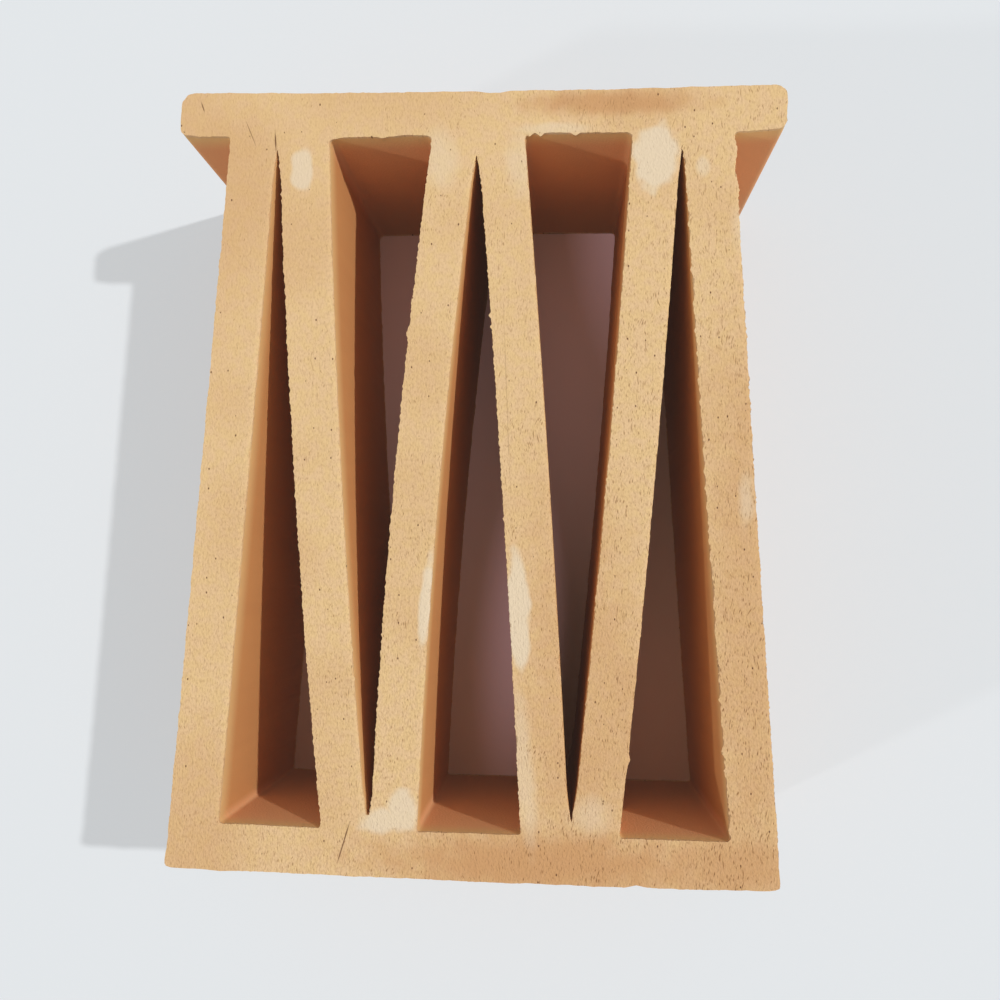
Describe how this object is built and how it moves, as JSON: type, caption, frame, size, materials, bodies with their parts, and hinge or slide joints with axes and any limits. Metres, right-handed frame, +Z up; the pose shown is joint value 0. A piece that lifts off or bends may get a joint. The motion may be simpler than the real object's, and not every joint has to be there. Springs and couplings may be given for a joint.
{
  "type": "terracotta breeze block",
  "caption": "Terracotta breeze block: extruded screen block with slanting zigzag webs between an overhanging head plate and a foot plate, open right through for air and light.",
  "frame": {"origin": "under the middle of the block, on the back cut face that it lies on", "axes": "+X across the block, +Y from the foot plate to the head plate, +Z up, along the extrusion, to the front cut face"},
  "size_m": [0.2328, 0.3, 0.1],
  "materials": {
    "terracotta": "matt fired clay"
  },
  "bodies": {
    "root": {"block": "terracotta"}
  },
  "joints": []
}
